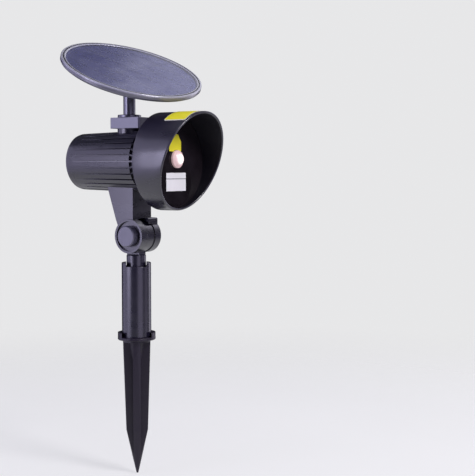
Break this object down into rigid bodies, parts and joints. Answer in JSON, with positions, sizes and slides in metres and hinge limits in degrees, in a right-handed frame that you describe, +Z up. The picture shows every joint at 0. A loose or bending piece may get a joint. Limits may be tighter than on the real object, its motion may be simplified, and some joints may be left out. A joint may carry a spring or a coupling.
{
  "type": "light projector stake",
  "caption": "Solar laser light projector: finned barrel head with a raked hood on a tilting knuckle and ground spike, with a round solar panel on a post.",
  "frame": {"origin": "on the stake's axis at the underside of the collar, which is ground level", "axes": "+Z up along the stake, -Y the way the projector shines, X along the knuckle bolt"},
  "size_m": [0.1187, 0.1333, 0.3695],
  "materials": {
    "body_plastic": "satin, fine moulded grain, slate black with a violet cast",
    "bush_plastic": "matt black",
    "rim_plastic": "semi-gloss grey rim",
    "lens_rim": "frosted pinkish grey ring",
    "post_metal": "glossy dark grey enamel",
    "knob_plastic": "satin mid grey",
    "block_plastic": "satin light grey",
    "button_rubber": "matt black rubber",
    "seal_rubber": "black rubber",
    "plate_plastic": "polished brown-black",
    "lens_glass": "frosted, pinkish when lit",
    "clear_glass": "clear",
    "panel_glass": "clear resin cover over the cells",
    "cell_silicon": "blue-violet silicon with fine fingers",
    "cell_backing": "dark blue laminate",
    "screw_steel": "zinc-plated",
    "mount_aluminium": "as machined",
    "barrel_brass": "turned",
    "board_green": "green solder mask",
    "parts_black": "moulded component bodies",
    "cell_wrap": "blue shrink sleeve",
    "lead_sleeve": "red wire sleeve",
    "cable_sleeve": "black cable sleeve",
    "yellow_label": "plain yellow film",
    "white_label": "plain white film"
  },
  "bodies": {
    "stake": {"ground_spike": "body_plastic", "stake_tube": "body_plastic", "tube_bush": "bush_plastic"},
    "stem": {"stem": "body_plastic", "stem_o_ring": "seal_rubber", "knuckle_washers": "seal_rubber"},
    "clamp": {"clamp_knob": "knob_plastic", "clamp_bolt": "screw_steel"},
    "button": {"power_button": "button_rubber"},
    "neck": {"panel_post": "post_metal", "post_nut": "screw_steel", "stop_washer": "screw_steel", "friction_washer": "seal_rubber", "panel_cable": "cable_sleeve"},
    "panel": {"panel_back_shell": "body_plastic", "panel_bezel": "rim_plastic", "cell_board": "cell_backing", "solar_cells": "cell_silicon", "panel_window": "panel_glass", "panel_leads": "lead_sleeve"},
    "socket": {"socket_nut": "body_plastic"},
    "head": {"finned_housing": "body_plastic", "rear_cap": "body_plastic", "rear_cap_screws": "screw_steel", "rear_o_ring": "seal_rubber", "hood": "body_plastic", "hood_screws": "screw_steel", "hood_o_ring": "seal_rubber", "lens_plate": "plate_plastic", "lens_bezel": "lens_rim", "lens_dome": "lens_glass", "lens_seal": "seal_rubber", "grating_disc": "clear_glass", "laser_barrel": "barrel_brass", "laser_diode": "barrel_brass", "collimator_lens": "clear_glass", "laser_mount": "mount_aluminium", "laser_mount_screws": "screw_steel", "driver_board": "board_green", "board_parts": "parts_black", "board_screws": "screw_steel", "battery_cradle": "bush_plastic", "battery_cell": "cell_wrap", "battery_contacts": "screw_steel", "power_switch": "parts_black", "switch_board": "board_green", "laser_leads": "lead_sleeve", "battery_leads": "lead_sleeve", "switch_leads": "cable_sleeve", "knuckle_nut": "screw_steel", "pan_clamp_block": "block_plastic", "pan_clamp_screw": "screw_steel", "triangle_sticker": "yellow_label", "white_sticker": "white_label", "hood_sticker": "yellow_label"}
  },
  "joints": [
    {"name": "stem_swivel", "type": "hinge", "parent": "stake", "child": "stem", "pos_m": [0, 0, 0.05], "axis": [0, 0, 1], "continuous": true},
    {"name": "head_tilt", "type": "hinge", "parent": "stem", "child": "head", "pos_m": [0, -0.002, 0.0882], "axis": [1, 0, 0], "range_deg": [-90, 90]},
    {"name": "clamp_turn", "type": "hinge", "parent": "head", "child": "clamp", "pos_m": [-0.0147, -0.002, 0.0882], "axis": [-1, 0, 0], "range_deg": [0, 180]},
    {"name": "power_press", "type": "slide", "parent": "head", "child": "button", "axis": [0, -1, 0], "range_m": [0, 0.0013], "stiffness_N_per_m": 300, "springref_m": -0.0005},
    {"name": "panel_pan", "type": "hinge", "parent": "head", "child": "neck", "pos_m": [0, 0.0065, 0.17], "axis": [0, 0, 1], "range_deg": [-160, 160]},
    {"name": "panel_tilt", "type": "hinge", "parent": "neck", "child": "panel", "pos_m": [0, 0.0065, 0.2177], "axis": [0.9219, -0.3875, 0], "range_deg": [-56, 3.8]},
    {"name": "socket_turn", "type": "hinge", "parent": "panel", "child": "socket", "pos_m": [0, 0.0065, 0.2177], "axis": [-0.1705, -0.4056, 0.898], "range_deg": [0, 180]}
  ]
}
